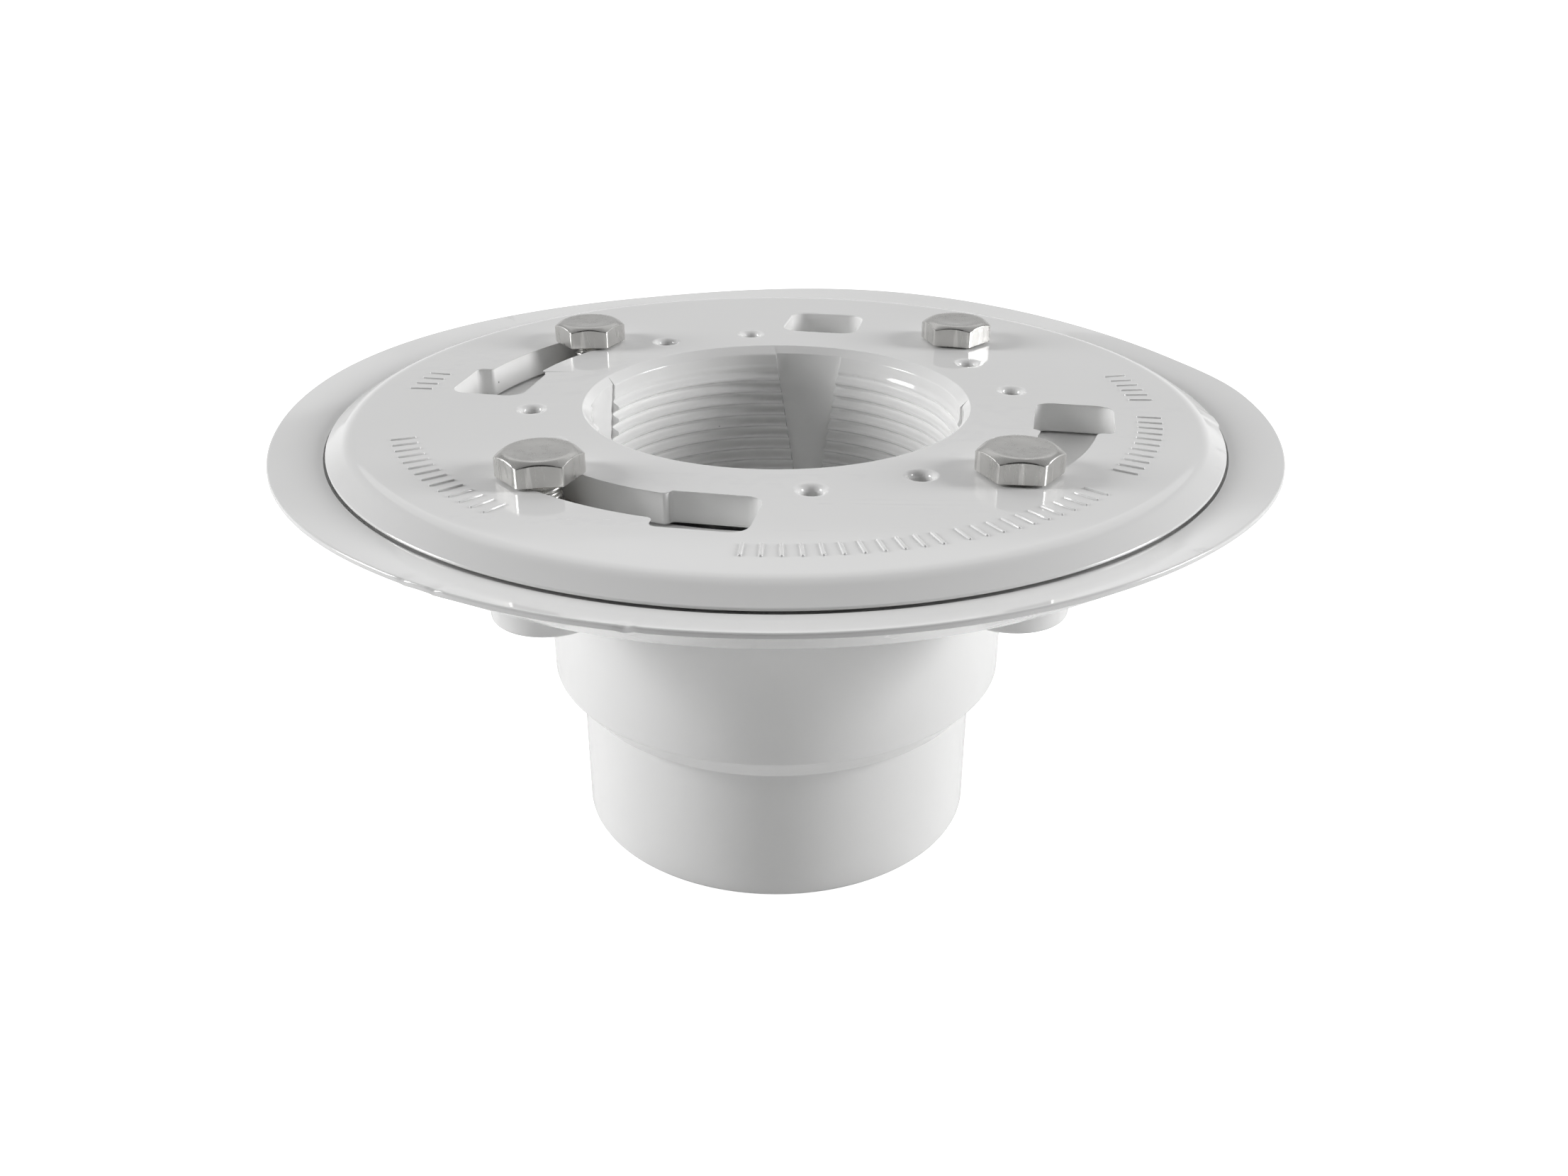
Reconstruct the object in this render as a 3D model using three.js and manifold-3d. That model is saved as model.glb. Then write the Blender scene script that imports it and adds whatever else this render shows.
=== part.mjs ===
// Floor drain body with a bolted clamping ring: a dished flange on a two-step pipe hub, a ring with a
// threaded throat, three keyhole slots and one plain bolt hole, and four hex bolts in brass inserts.
// Millimetres, +Z up. The origin is the centre of the hub's lower end, where the part stands.

import * as THREE from 'three';
import { mergeVertices } from 'three/addons/utils/BufferGeometryUtils.js';
import Module from 'manifold-3d';

// ---- driving dimensions ----------------------------------------------------------------------------

const CLEARANCE = 0.3;
const OVERLAP = 1.0;
const SEGMENTS = 72;
const SMALL_SEGMENTS = 24;
const CROWN_SEGMENTS = 36;
const ARC_STEPS = 16;
const CORNER_STEPS = 6;

const RING_TOP = 74.1;

const outletHub = { radius: 34.25, top: 24.4, socketRadius: 30.25, socketDepth: 19.0, leadIn: 0.8 };
const upperHub = { radius: 38.8, ledgeRadius: 35.5, chamferTop: 28.55, boreRadius: 34.6, boreFloor: 31.0 };
const waterway = { radius: 26.3, coneFoot: 22.6, shoulderRadius: 31.0, shoulderHeight: 26.8 };
const flange = {
  rimRadius: 79.3,
  rimTop: RING_TOP - 1.55,
  rimEdge: 0.8,
  recessRadius: 71.3,
  recessTop: RING_TOP - 2.85,
  ledgeFloor: RING_TOP - 3.45,
  dishRadius: 62.0,
  dishFloor: RING_TOP - 5.1,
  mouthRadius: 42.0,
  mouthFloor: RING_TOP - 10.0,
  underside: RING_TOP - 8.4,
  undersideRadius: 69.7,
};
const boss = { radius: 8.75, bottom: RING_TOP - 21.3, webWidth: 6.0, webBottom: RING_TOP - 18.0 };

const ring = {
  radius: 71.0,
  flatRadius: 66.4,
  flankTopRadius: 68.0,
  flankTop: RING_TOP - 0.47,
  flankFootRadius: 70.4,
  flankFoot: RING_TOP - 2.0,
  edgeTop: RING_TOP - 2.3,
  edgeFoot: RING_TOP - 2.6,
  edgeBreak: 0.1,
  dishRadius: 61.7,
  underside: RING_TOP - 4.8,
  boreRadius: 31.5,
  chamfer: 1.4,
  counterboreRadius: 30.1,
  counterboreDepth: 3.0,
  threadRunIn: 1.0,
  threadMinorRadius: 29.1,
  neckRadius: 33.6,
  neckFoot: RING_TOP - 34.0,
};
const notch = { count: 4, azimuth: 80.0, topWidth: 12.6, footWidth: 2.2, cutterRadius: 24.0, floorRadius: 30.5 };
const weepHole = { radius: 1.6, mouthRadius: 2.75, mouthDepth: 1.1, circleRadius: 39.5, azimuths: [8.3, 32.5] };

const bolt = {
  circleRadius: 47.8,
  azimuth: 47.3,
  headAcrossFlats: 11.1,
  headHeight: 3.75,
  crownRadius: 4.95,
  crownSlope: 30,
  shankRadius: 3.0,
  holeRadius: 3.6,
  length: 19.05,
  tipRadius: 2.3,
};
const slot = {
  innerRadius: 43.1,
  outerRadius: 52.1,
  wideTurn: 33.0,
  wideRadial: 13.1,
  wideAcross: 13.9,
  cornerRadius: 3.0,
};
const insert = { radius: 4.7, boreRadius: 3.35, length: 12.7, topDepth: 5.6, roomBelow: 1.5 };

// The bolts, counter-clockwise from the first: the turn of each hexagon about its own axis, and whether
// a slot joins the bolt's place to the wide opening beside it.
const boltPlaces = [
  { side: 'back_right', hexTurn: 47.7, slotted: false },
  { side: 'back_left', hexTurn: 6.2, slotted: true },
  { side: 'front_left', hexTurn: 9.4, slotted: true },
  { side: 'front_right', hexTurn: 55.5, slotted: true },
];

// ---- worked-out values -----------------------------------------------------------------------------

const QUARTER_TURN = 90;
const boltSeat = RING_TOP + CLEARANCE;
const cornerRadius = bolt.headAcrossFlats / Math.sqrt(3);
const slotWidth = slot.outerRadius - slot.innerRadius;
const slotMidRadius = (slot.outerRadius + slot.innerRadius) / 2;
const slotEndOffset = slotWidth / 2 - bolt.shankRadius - CLEARANCE;
const insertTop = RING_TOP - insert.topDepth;
const insertFoot = insertTop - insert.length;
const pocketFoot = insertFoot - insert.roomBelow;

// ---- materials -------------------------------------------------------------------------------------

const whitePlastic = { color: 0xe4e4e2, roughness: 0.22, metalness: 0.0 };
const zincSteel = { color: 0xb4b3ae, roughness: 0.3, metalness: 1.0 };
const brass = { color: 0xc7a250, roughness: 0.35, metalness: 1.0 };

// ---- solid helpers ---------------------------------------------------------------------------------

const wasm = await Module();
wasm.setup();

const radians = (degrees) => THREE.MathUtils.degToRad(degrees);

/** Signed volume of an indexed triangle mesh, negative where its faces point inwards. */
function signedVolume(vertices, triangles) {
  let volume = 0;
  const a = new THREE.Vector3();
  const b = new THREE.Vector3();
  const c = new THREE.Vector3();
  for (let i = 0; i < triangles.length; i += 3) {
    a.fromArray(vertices, 3 * triangles[i]);
    b.fromArray(vertices, 3 * triangles[i + 1]);
    c.fromArray(vertices, 3 * triangles[i + 2]);
    volume += a.dot(b.cross(c)) / 6;
  }
  return volume;
}

/** Turn a closed geometry into a manifold solid whose faces point outwards. */
function solidFrom(geometry) {
  const positionOnly = new THREE.BufferGeometry();
  positionOnly.setAttribute('position', geometry.getAttribute('position'));
  positionOnly.setIndex(geometry.getIndex());
  const merged = mergeVertices(positionOnly, 1e-4);
  const vertices = Float32Array.from(merged.getAttribute('position').array);
  const triangles = [];
  const index = merged.getIndex().array;
  for (let i = 0; i < index.length; i += 3) {
    const [a, b, c] = [index[i], index[i + 1], index[i + 2]];
    if (a !== b && b !== c && c !== a) {
      triangles.push(a, b, c);
    }
  }
  if (signedVolume(vertices, triangles) < 0) {
    triangles.reverse();
  }
  const mesh = new wasm.Mesh({ numProp: 3, vertProperties: vertices, triVerts: Uint32Array.from(triangles) });
  return new wasm.Manifold(mesh);
}

/** Revolve [radius, height] points about +Z; a profile off the axis closes on itself. */
function revolve(profile, segments) {
  const points = profile.map(([radius, height]) => new THREE.Vector2(radius, height));
  if (points[0].x > 0) {
    points.push(points[0].clone());
  }
  const geometry = new THREE.LatheGeometry(points, segments);
  geometry.rotateX(Math.PI / 2);
  return solidFrom(geometry);
}

/** A cylinder along +Z between two heights, its axis at the given place. */
function cylinder(radius, foot, top, x = 0, y = 0) {
  const geometry = new THREE.CylinderGeometry(radius, radius, top - foot, SMALL_SEGMENTS);
  geometry.rotateX(Math.PI / 2);
  geometry.translate(x, y, (top + foot) / 2);
  return solidFrom(geometry);
}

/** Extrude a flat shape along +Z between two heights. */
function extrude(shape, foot, top, curveSegments) {
  const options = { depth: top - foot, bevelEnabled: false, curveSegments };
  const geometry = new THREE.ExtrudeGeometry(shape, options);
  geometry.translate(0, 0, foot);
  return solidFrom(geometry);
}

/** Repeat a solid at equal turns about +Z, the first one turned to the given azimuth. */
function aroundAxis(solid, count, azimuth) {
  const step = 360 / count;
  const copies = [];
  for (let i = 0; i < count; i += 1) {
    copies.push(solid.rotate([0, 0, azimuth + step * i]));
  }
  return wasm.Manifold.union(copies);
}

/** A named mesh of one solid, with its own material. */
function namedMesh(name, solid, look) {
  const { vertProperties, triVerts } = solid.getMesh();
  const geometry = new THREE.BufferGeometry();
  geometry.setAttribute('position', new THREE.BufferAttribute(vertProperties, 3));
  geometry.setIndex(new THREE.BufferAttribute(triVerts, 1));
  geometry.computeVertexNormals();
  const mesh = new THREE.Mesh(geometry, new THREE.MeshStandardMaterial(look));
  mesh.name = name;
  return mesh;
}

// ---- drain base ------------------------------------------------------------------------------------

/** The dished flange, both hub steps, the waterway and the pipe socket, as one revolved wall. */
function baseWall() {
  return revolve([
    [outletHub.radius - outletHub.leadIn, 0],
    [outletHub.radius, outletHub.leadIn],
    [outletHub.radius, outletHub.top],
    [upperHub.ledgeRadius, outletHub.top],
    [upperHub.radius, upperHub.chamferTop],
    [upperHub.radius, flange.underside],
    [flange.undersideRadius, flange.underside],
    [flange.rimRadius, flange.rimTop - flange.rimEdge],
    [flange.rimRadius, flange.rimTop],
    [flange.recessRadius, flange.recessTop],
    [flange.recessRadius, flange.ledgeFloor],
    [flange.dishRadius, flange.dishFloor],
    [flange.mouthRadius, flange.dishFloor],
    [upperHub.boreRadius, flange.mouthFloor],
    [upperHub.boreRadius, upperHub.boreFloor],
    [waterway.shoulderRadius, waterway.shoulderHeight],
    [waterway.radius, waterway.coneFoot],
    [waterway.radius, outletHub.socketDepth],
    [outletHub.socketRadius, outletHub.socketDepth],
    [outletHub.socketRadius, outletHub.leadIn],
    [outletHub.socketRadius + outletHub.leadIn, 0],
  ], SEGMENTS);
}

/** One bolt boss with the web that ties it to the hub, on the +X side. */
function bossOnX() {
  const post = cylinder(boss.radius, boss.bottom, flange.dishFloor - OVERLAP, bolt.circleRadius);
  const web = new THREE.BoxGeometry(
    bolt.circleRadius - upperHub.boreRadius - OVERLAP,
    boss.webWidth,
    flange.dishFloor - OVERLAP - boss.webBottom,
  );
  web.translate(
    (bolt.circleRadius + upperHub.boreRadius + OVERLAP) / 2,
    0,
    (flange.dishFloor - OVERLAP + boss.webBottom) / 2,
  );
  return post.add(solidFrom(web));
}

function drainBase() {
  const pocket = cylinder(insert.radius + CLEARANCE, pocketFoot, RING_TOP, bolt.circleRadius);
  return baseWall()
    .add(aroundAxis(bossOnX(), boltPlaces.length, bolt.azimuth))
    .subtract(aroundAxis(pocket, boltPlaces.length, bolt.azimuth));
}

// ---- clamping ring ---------------------------------------------------------------------------------

/** The plate with its rounded shoulder, and the throat that hangs from it. */
function ringWall() {
  return revolve([
    [ring.boreRadius, RING_TOP],
    [ring.boreRadius - ring.chamfer, RING_TOP - ring.chamfer],
    [ring.counterboreRadius, RING_TOP - ring.counterboreDepth],
    [ring.threadMinorRadius, RING_TOP - ring.counterboreDepth - ring.threadRunIn],
    [ring.threadMinorRadius, ring.neckFoot],
    [ring.neckRadius, ring.neckFoot],
    [ring.neckRadius, ring.underside],
    [ring.dishRadius, ring.underside],
    [ring.radius - ring.edgeBreak, ring.edgeFoot],
    [ring.radius, ring.edgeFoot + ring.edgeBreak],
    [ring.radius, ring.edgeTop],
    [ring.flankFootRadius, ring.flankFoot],
    [ring.flankTopRadius, ring.flankTop],
    [ring.flatRadius, RING_TOP],
  ], SEGMENTS);
}

/** The arc a bolt's shank runs in, from the bolt at azimuth 0 counter-clockwise to the wide opening. */
function narrowSlotShape() {
  const start = slotEndOffset / slotMidRadius;
  const end = radians(slot.wideTurn);
  const shape = new THREE.Shape();
  shape.absarc(0, 0, slot.outerRadius, start, end, false);
  shape.absarc(0, 0, slot.innerRadius, end, start, true);
  const x = slotMidRadius * Math.cos(start);
  const y = slotMidRadius * Math.sin(start);
  shape.absarc(x, y, slotWidth / 2, start + Math.PI, start + 2 * Math.PI, false);
  return shape;
}

/** The rounded rectangle that a bolt's head passes through, centred on +X. */
function wideSlotShape() {
  const low = new THREE.Vector2(bolt.circleRadius - slot.wideRadial / 2, -slot.wideAcross / 2);
  const high = new THREE.Vector2(bolt.circleRadius + slot.wideRadial / 2, slot.wideAcross / 2);
  const round = slot.cornerRadius;
  const shape = new THREE.Shape();
  shape.absarc(high.x - round, low.y + round, round, -Math.PI / 2, 0, false);
  shape.absarc(high.x - round, high.y - round, round, 0, Math.PI / 2, false);
  shape.absarc(low.x + round, high.y - round, round, Math.PI / 2, Math.PI, false);
  shape.absarc(low.x + round, low.y + round, round, Math.PI, 1.5 * Math.PI, false);
  return shape;
}

/** The cutter for one bolt and the wide opening beside it, with the bolt on +X. */
function boltOpeningOnX(slotted) {
  const foot = ring.underside - OVERLAP;
  const top = RING_TOP + OVERLAP;
  const wide = extrude(wideSlotShape(), foot, top, CORNER_STEPS).rotate([0, 0, slot.wideTurn]);
  const shankRoom = slotted
    ? extrude(narrowSlotShape(), foot, top, ARC_STEPS)
    : cylinder(bolt.holeRadius, foot, top, bolt.circleRadius);
  return wide.add(shankRoom);
}

/** A small drain hole with a countersunk mouth, on the +X side. */
function weepHoleOnX() {
  const { radius, mouthRadius, mouthDepth, circleRadius } = weepHole;
  return revolve([
    [0, ring.underside - OVERLAP],
    [radius, ring.underside - OVERLAP],
    [radius, RING_TOP - mouthDepth],
    [mouthRadius, RING_TOP],
    [mouthRadius, RING_TOP + OVERLAP],
    [0, RING_TOP + OVERLAP],
  ], SMALL_SEGMENTS).translate([circleRadius, 0, 0]);
}

/** A channel through the thread that narrows downwards, on the +X side. */
function notchOnX() {
  const shape = new THREE.Shape([
    new THREE.Vector2(-notch.topWidth / 2, RING_TOP),
    new THREE.Vector2(-notch.footWidth / 2, ring.neckFoot - OVERLAP),
    new THREE.Vector2(notch.footWidth / 2, ring.neckFoot - OVERLAP),
    new THREE.Vector2(notch.topWidth / 2, RING_TOP),
  ]);
  const options = { depth: notch.floorRadius - notch.cutterRadius + OVERLAP, bevelEnabled: false };
  const geometry = new THREE.ExtrudeGeometry(shape, options);
  geometry.rotateX(Math.PI / 2);
  geometry.rotateZ(Math.PI / 2);
  geometry.translate(notch.cutterRadius, 0, 0);
  const reach = revolve([
    [0, ring.neckFoot - 2 * OVERLAP],
    [notch.floorRadius, ring.neckFoot - 2 * OVERLAP],
    [notch.floorRadius, RING_TOP + OVERLAP],
    [0, RING_TOP + OVERLAP],
  ], SEGMENTS);
  return solidFrom(geometry).intersect(reach);
}

function clampingRing() {
  let solid = ringWall();
  boltPlaces.forEach(({ slotted }, order) => {
    solid = solid.subtract(boltOpeningOnX(slotted).rotate([0, 0, bolt.azimuth + QUARTER_TURN * order]));
  });
  for (const azimuth of weepHole.azimuths) {
    solid = solid.subtract(aroundAxis(weepHoleOnX(), 360 / QUARTER_TURN, azimuth));
  }
  return solid.subtract(aroundAxis(notchOnX(), notch.count, notch.azimuth));
}

// ---- bolts and inserts -----------------------------------------------------------------------------

/** A hex bolt standing on its own axis, its head's underside at height 0. */
function hexBolt(hexTurn) {
  const prism = new THREE.CylinderGeometry(cornerRadius, cornerRadius, bolt.headHeight, 6);
  prism.rotateX(Math.PI / 2);
  prism.rotateZ(radians(hexTurn));
  prism.translate(0, 0, bolt.headHeight / 2);
  const cutRadius = cornerRadius + OVERLAP;
  const crownDrop = (cutRadius - bolt.crownRadius) * Math.tan(radians(bolt.crownSlope));
  const crown = revolve([
    [0, 0],
    [cutRadius, 0],
    [cutRadius, bolt.headHeight - crownDrop],
    [bolt.crownRadius, bolt.headHeight],
    [0, bolt.headHeight],
  ], CROWN_SEGMENTS);
  const shank = revolve([
    [0, -bolt.length],
    [bolt.tipRadius, -bolt.length],
    [bolt.shankRadius, -bolt.length + bolt.shankRadius - bolt.tipRadius],
    [bolt.shankRadius, OVERLAP],
    [0, OVERLAP],
  ], SMALL_SEGMENTS);
  return solidFrom(prism).intersect(crown).add(shank);
}

/** The threaded brass bush that a bolt runs into, on its own axis. */
function threadedInsert() {
  return revolve([
    [insert.boreRadius, insertFoot],
    [insert.radius, insertFoot],
    [insert.radius, insertTop],
    [insert.boreRadius, insertTop],
  ], SMALL_SEGMENTS);
}

/** Put a mesh on the bolt circle at the given place in the order of bolts. */
function onBoltCircle(mesh, order, height) {
  const azimuth = radians(bolt.azimuth + QUARTER_TURN * order);
  mesh.position.set(bolt.circleRadius * Math.cos(azimuth), bolt.circleRadius * Math.sin(azimuth), height);
  return mesh;
}

// ---- assembly --------------------------------------------------------------------------------------

const drain = new THREE.Group();
drain.add(namedMesh('drain_base', drainBase(), whitePlastic));
drain.add(namedMesh('clamping_ring', clampingRing(), whitePlastic));
boltPlaces.forEach(({ side, hexTurn }, order) => {
  drain.add(onBoltCircle(namedMesh(`bolt_${side}`, hexBolt(hexTurn), zincSteel), order, boltSeat));
  drain.add(onBoltCircle(namedMesh(`insert_${side}`, threadedInsert(), brass), order, 0));
});

export default drain;
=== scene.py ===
"""Looks of a white plastic floor drain body: base, threaded clamping ring, hex bolts, brass inserts."""

import math

import bmesh
import bpy
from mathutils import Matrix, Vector
from mathutils.geometry import tessellate_polygon


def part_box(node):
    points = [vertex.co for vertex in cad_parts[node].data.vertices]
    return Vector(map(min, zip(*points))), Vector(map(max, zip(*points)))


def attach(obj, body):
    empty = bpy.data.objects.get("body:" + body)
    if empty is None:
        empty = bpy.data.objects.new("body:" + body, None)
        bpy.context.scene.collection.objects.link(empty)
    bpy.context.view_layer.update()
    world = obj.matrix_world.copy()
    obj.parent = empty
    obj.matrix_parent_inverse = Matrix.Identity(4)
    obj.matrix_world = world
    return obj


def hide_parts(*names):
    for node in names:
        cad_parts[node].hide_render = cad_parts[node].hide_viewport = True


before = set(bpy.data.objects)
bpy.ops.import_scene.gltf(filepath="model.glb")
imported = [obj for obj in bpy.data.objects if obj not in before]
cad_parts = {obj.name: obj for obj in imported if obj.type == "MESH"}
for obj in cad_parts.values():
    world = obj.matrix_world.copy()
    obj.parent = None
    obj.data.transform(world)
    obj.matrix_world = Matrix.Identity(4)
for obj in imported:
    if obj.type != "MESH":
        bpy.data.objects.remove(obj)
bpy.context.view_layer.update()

# ---- sizes, in millimetres unless a name says otherwise ---------------------------------------------

MM = 0.001
SIDES = ("back_right", "back_left", "front_left", "front_right")


def box_mm(node):
    """Lowest and highest corner of a CAD node, in millimetres."""
    low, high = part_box(node)
    return Vector(low) / MM, Vector(high) / MM


BASE_LOW, BASE_HIGH = box_mm("drain_base")
RING_LOW, RING_HIGH = box_mm("clamping_ring")
RIM_RADIUS = BASE_HIGH.x
RING_RADIUS = RING_HIGH.x
RING_TOP = RING_HIGH.z
NECK_FOOT = RING_LOW.z

OUTLET_RADIUS = 34.25
OUTLET_TOP = 24.4
SOCKET_RADIUS = 30.25
SOCKET_DEPTH = 19.0
UPPER_RADIUS = 38.8
LEDGE_RADIUS = 35.5
STEP_TOP = 28.55
BORE_RADIUS = 34.6
BORE_FLOOR = 31.0
WATERWAY_RADIUS = 26.3
CONE_FOOT = 22.6
SHOULDER_RADIUS = 31.0
SHOULDER_HEIGHT = 26.8

DISH_FLOOR = RING_TOP - 5.1
DISH_RADIUS = 62.0
MOUTH_FLOOR = RING_TOP - 10.0
MOUTH_RADIUS = 42.0
UNDERSIDE = RING_TOP - 8.4
UNDERSIDE_RADIUS = 69.7
RIM_TOP = RING_TOP - 1.55
RIM_EDGE = 0.8
BOSS_RADIUS = 8.75
BOSS_FOOT = RING_TOP - 21.3
WEB_WIDTH = 6.0
WEB_FOOT = RING_TOP - 18.0
POCKET_RADIUS = 5.0
POCKET_FOOT = RING_TOP - 19.8
RECESS_RADIUS = 71.3
RECESS_TOP = RING_TOP - 2.85
LEDGE_FLOOR = RING_TOP - 3.45
# How far in from the rim, and how far below its top.
BRIM_POINTS = ((2.0, 0.33), (4.0, 0.65), (6.0, 0.98))
# Azimuth in degrees, and how far the brim stands up there.
BRIM_WARP = (
    (-13.0, -0.1), (7.0, 0.0), (25.0, -0.65), (75.0, 0.7), (113.0, -0.28), (165.0, 0.46),
    (203.0, -0.2), (238.0, 0.36), (270.0, 0.42), (314.0, 0.76), (347.0, -0.1),
)
# Azimuth and half angle in degrees, and depth: a burr has a negative depth.
RIM_KNOCKS = (
    (236.5, 0.7, 0.2), (240.2, 0.5, 0.3), (240.9, 0.4, -0.12), (258.6, 0.8, 0.25), (259.6, 0.5, -0.12),
)

PLATE_FOOT = RING_TOP - 4.8
FLAT_RADIUS = 65.0
FLANK_TOP_RADIUS = 67.3
FLANK_ROUND = 4.5
EDGE_TOP = RING_TOP - 2.3
EDGE_FOOT = RING_TOP - 2.6
PLATE_DISH_RADIUS = 61.7
PLATE_SEAM_RADIUS = 59.0
MOUTH_LIP_RADIUS = 32.6
THROAT_RADIUS = 31.5
COUNTERBORE_RADIUS = 30.1
CHAMFER_DEPTH = 1.4
THREAD_ROOT = 30.3
THREAD_CREST = 29.1
THREAD_PITCH = 25.4 / 11.5
THREAD_TOP = 3.0
THREAD_RUN_OUT = 1.0
THREAD_ROWS = 12
THREAD_FADE_ROWS = 14
NECK_RADIUS = 33.6
NOTCH_AZIMUTH = 80.0
NOTCH_TOP_WIDTH = 12.6
NOTCH_FOOT_WIDTH = 2.2
NOTCH_COUNT = 4
NOTCH_FLOOR_RADIUS = 30.45
NOTCH_STEPS = 8
WALL_STEPS = 80

BOLT_CIRCLE = 47.8
BOLT_AZIMUTH = 47.3
ACROSS_FLATS = 11.1
HEAD_HEIGHT = 3.75
CROWN_RADIUS = 4.95
DIMPLE_RADIUS = 2.7
DIMPLE_DEPTH = 0.06
SHANK_RADIUS = 3.0
SHANK_ROOT = 2.5
TIP_THREAD_START = 0.9
TIP_POINTS = ((2.35, 0.1), (2.2, 0.0))
BOLT_PITCH = 1.27
INSERT_BORE = 3.35
INSERT_ROOT = 3.6
INSERT_MOUTH = 3.75
INSERT_LEAD_IN = 0.4
HEX_TURNS = {"back_right": 47.7, "back_left": 6.2, "front_left": 9.4, "front_right": 55.5}

HOLE_RADIUS = 3.6
SLOTTED_SIDES = SIDES[1:]
SLOT_INNER = 43.1
SLOT_OUTER = 52.1
WIDE_TURN = 33.0
WIDE_RADIAL = 13.1
WIDE_ACROSS = 13.9
WEEP_CIRCLE = 39.5
WEEP_RADIUS = 1.6
WEEP_MOUTH = 2.75
WEEP_AZIMUTHS = (8.3, 32.5)

GATE_AZIMUTH = -2.0
GATE_HALF_ANGLE = 2.6
GATE_STANDS_OUT = 0.3

TICK_RADIUS = 59.4
TICK_LENGTH = 3.9
TICK_WIDTH = 0.5
TICK_HEIGHT = 0.24
TICK_STEP = 2.4
TICK_ARCS = ((168.0, 176.0), (200.0, 232.0), (267.0, 291.5), (295.0, 319.0), (328.0, 352.5), (361.0, 373.5))

ROUND_COLUMNS = 360

PLASTIC_TONE = 0.95

FRONT_GLOW = 0.01
BACK_GLOW = 0.4
HORIZON_GLOW = 0.6
FLOOR_GLOW_FRONT = 0.047
FLOOR_GLOW_BACK = 0.2
FLOOR_CAMERA_GLOW = 0.9
SIDE_POWER = 7.4
SIDE_PLACE = (1.0, 0.0, 0.42)
SIDE_SIZE = (0.34, 0.45)
BACK_POWER = 1.2
BACK_PLACE = (0.0, 0.74, 0.74)
BACK_SIZE = (1.3, 0.6)
PANEL_AIM = (0.0, 0.0, 0.06)
FLOOR_REACH = 8000.0
FLOOR_GLOW_RAMP = (0.0, 0.4)
HORIZON_RAMP = (0.05, 0.3)
ROOM_RAMP = (-0.3, 0.15)

SENSOR_WIDTH = 36.0
LENS = 31.53
CAMERA_X = 0.00492
CAMERA_Y = -0.21497
CAMERA_ABOVE_RING = 0.07106
CAMERA_TURN = (63.888, -0.129, 1.032)


# ---- outlines ---------------------------------------------------------------------------------------

def polar(radius, degrees):
    """The point at a radius and azimuth, as (x, y)."""
    angle = math.radians(degrees)
    return (radius * math.cos(angle), radius * math.sin(angle))


def smooth_step(low, high, value):
    """0 below low, 1 above high, and a smooth rise between them."""
    t = min(max((value - low) / (high - low), 0.0), 1.0)
    return t * t * (3 - 2 * t)


def rounded(points, closed=False, steps=5):
    """A path through (x, y, radius) points whose corners are rounded to their radius."""
    count = len(points)
    path = []
    for i, (x, y, radius) in enumerate(points):
        is_end = not closed and i in (0, count - 1)
        if radius == 0 or is_end:
            path.append((x, y))
            continue
        here = Vector((x, y))
        back = (Vector(points[i - 1][:2]) - here).normalized()
        ahead = (Vector(points[(i + 1) % count][:2]) - here).normalized()
        half = back.angle(ahead) / 2
        reach = radius / math.tan(half)
        centre = here + (back + ahead).normalized() * radius / math.sin(half)
        spoke = here + back * reach - centre
        turn = spoke.angle_signed(here + ahead * reach - centre)
        for k in range(steps + 1):
            cosine = math.cos(turn * k / steps)
            sine = -math.sin(turn * k / steps)
            path.append((
                centre.x + spoke.x * cosine - spoke.y * sine,
                centre.y + spoke.x * sine + spoke.y * cosine,
            ))
    return path


def offset(outline, distance):
    """A closed outline moved sideways: to its left for a positive distance."""
    count = len(outline)
    moved = []
    for i in range(count):
        before = Vector(outline[i - 1])
        here = Vector(outline[i])
        after = Vector(outline[(i + 1) % count])
        first = (here - before).normalized()
        second = (after - here).normalized()
        along = (first + second).normalized()
        stretch = 1 / max(along.dot(first), 0.5)
        moved.append((here.x - along.y * distance * stretch, here.y + along.x * distance * stretch))
    return moved


def circle(radius, columns, x=0.0, y=0.0):
    """A counter-clockwise circle as (x, y) points."""
    return [
        (x + radius * math.cos(2 * math.pi * i / columns), y + radius * math.sin(2 * math.pi * i / columns))
        for i in range(columns)
    ]


# ---- closed surfaces --------------------------------------------------------------------------------

class Shell:
    """One closed surface, put together from loops of points in millimetres."""

    def __init__(self):
        self.points = []
        self.faces = []

    def loop(self, points):
        """Add a closed loop of 3-D points and give its point numbers."""
        start = len(self.points)
        self.points.extend(points)
        return list(range(start, start + len(points)))

    def bridge(self, first, second):
        """Join two loops of the same length with a band of quads."""
        count = len(first)
        for i in range(count):
            j = (i + 1) % count
            self.faces.append((first[i], first[j], second[j], second[i]))

    def stack(self, loops):
        """Join each loop to the next one."""
        for first, second in zip(loops, loops[1:]):
            self.bridge(first, second)

    def fill(self, outer, holes=()):
        """Close a flat loop, leaving its holes open."""
        loops = [outer, *holes]
        numbers = [i for one in loops for i in one]
        corners = [[Vector(self.points[i]) for i in one] for one in loops]
        for triangle in tessellate_polygon(corners):
            self.faces.append(tuple(numbers[k] for k in triangle))

    def edge(self, outline, steps):
        """Run a closed outline through (sideways, height) steps and give the loops it makes."""
        loops = []
        for sideways, height in steps:
            loops.append(self.loop([(x, y, height) for x, y in offset(outline, sideways)]))
        self.stack(loops)
        return loops

    def turned(self, profile, columns, shape=None):
        """Revolve (radius, height) points about Z and give the loops it makes."""
        loops = []
        for radius, height in profile:
            ring = []
            for i in range(columns):
                azimuth = 360.0 * i / columns
                r, z = shape(radius, height, azimuth) if shape else (radius, height)
                ring.append((*polar(r, azimuth), z))
            loops.append(self.loop(ring))
        self.stack(loops)
        return loops


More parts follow.
